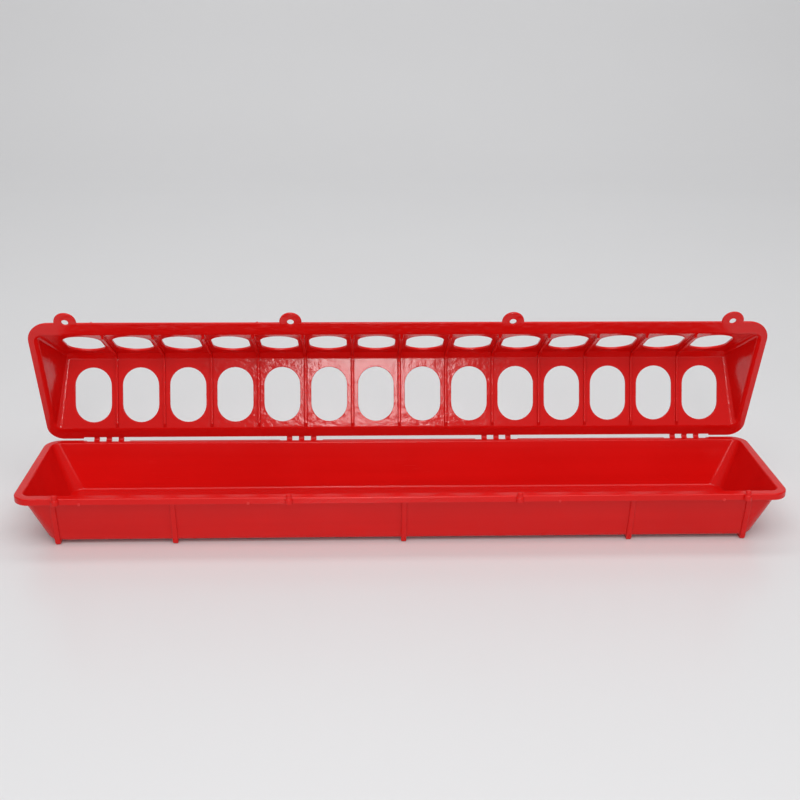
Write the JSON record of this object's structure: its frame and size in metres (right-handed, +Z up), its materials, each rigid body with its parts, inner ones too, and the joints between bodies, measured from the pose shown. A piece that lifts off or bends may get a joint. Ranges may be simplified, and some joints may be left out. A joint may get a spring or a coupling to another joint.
{
  "type": "trough feeder",
  "caption": "Long flip-top poultry feeding trough: an open tray with ribs and feet, and a gable lid with rows of feeding holes on flexible hinge straps.",
  "frame": {"origin": "on the surface the feeder stands on, under the middle of the tray", "axes": "+X along the trough, +Y towards the hinge, +Z up"},
  "size_m": [0.5, 0.119, 0.1412],
  "materials": {
    "tray_plastic": "glossy red polypropylene",
    "lid_plastic": "glossy red polypropylene, slightly translucent where thin",
    "strap_plastic": "red polypropylene, thinned to flex"
  },
  "bodies": {
    "tray": {"tray": "tray_plastic", "hinge_strap_01": "strap_plastic", "hinge_strap_02": "strap_plastic", "hinge_strap_03": "strap_plastic", "hinge_strap_04": "strap_plastic", "hinge_strap_05": "strap_plastic", "hinge_strap_06": "strap_plastic", "hinge_strap_07": "strap_plastic", "hinge_strap_08": "strap_plastic", "hinge_strap_09": "strap_plastic", "hinge_strap_10": "strap_plastic", "hinge_strap_11": "strap_plastic", "hinge_strap_12": "strap_plastic"},
    "lid": {"lid": "lid_plastic"}
  },
  "joints": [
    {"name": "lid_hinge", "type": "hinge", "parent": "tray", "child": "lid", "pos_m": [0, 0.0514, 0.03715], "axis": [-1, 0, 0], "range_deg": [-69.5, 110.5], "deforming": ["hinge_strap_01", "hinge_strap_02", "hinge_strap_03", "hinge_strap_04", "hinge_strap_05", "hinge_strap_06", "hinge_strap_07", "hinge_strap_08", "hinge_strap_09", "hinge_strap_10", "hinge_strap_11", "hinge_strap_12"]}
  ]
}
